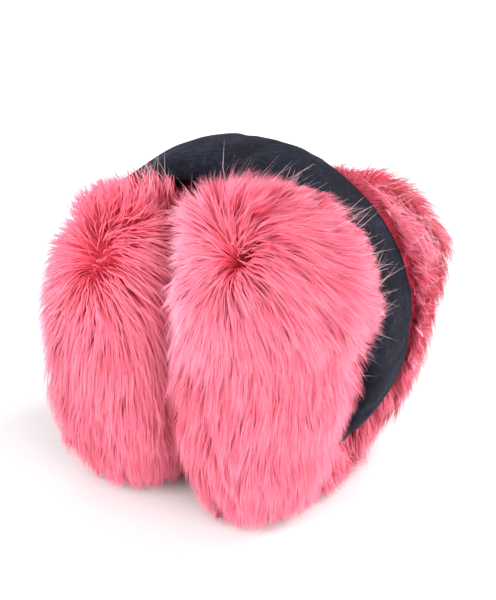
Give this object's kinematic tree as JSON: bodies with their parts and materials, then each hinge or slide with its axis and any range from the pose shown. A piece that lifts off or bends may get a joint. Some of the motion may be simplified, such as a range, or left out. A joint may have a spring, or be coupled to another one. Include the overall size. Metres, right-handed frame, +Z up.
{
  "type": "fur earmuffs",
  "caption": "Over-the-head earmuffs: deep-pile faux fur ear cups, sprung face to face and standing upright, joined by a padded velvet headband sewn down their outer sides.",
  "frame": {"origin": "on the resting surface, under the middle of the footprint", "axes": "+Z up, +X from the left ear cup to the right ear cup, +Y from the front to the back; the headband's ring stands in a plane of X and Z"},
  "size_m": [0.1686, 0.149, 0.1502],
  "materials": {
    "headband": "matt velvet",
    "pile": "soft long-pile fur"
  },
  "bodies": {
    "root": {"headband": "headband", "right_ear_cup": "pile", "left_ear_cup": "pile"}
  },
  "joints": []
}
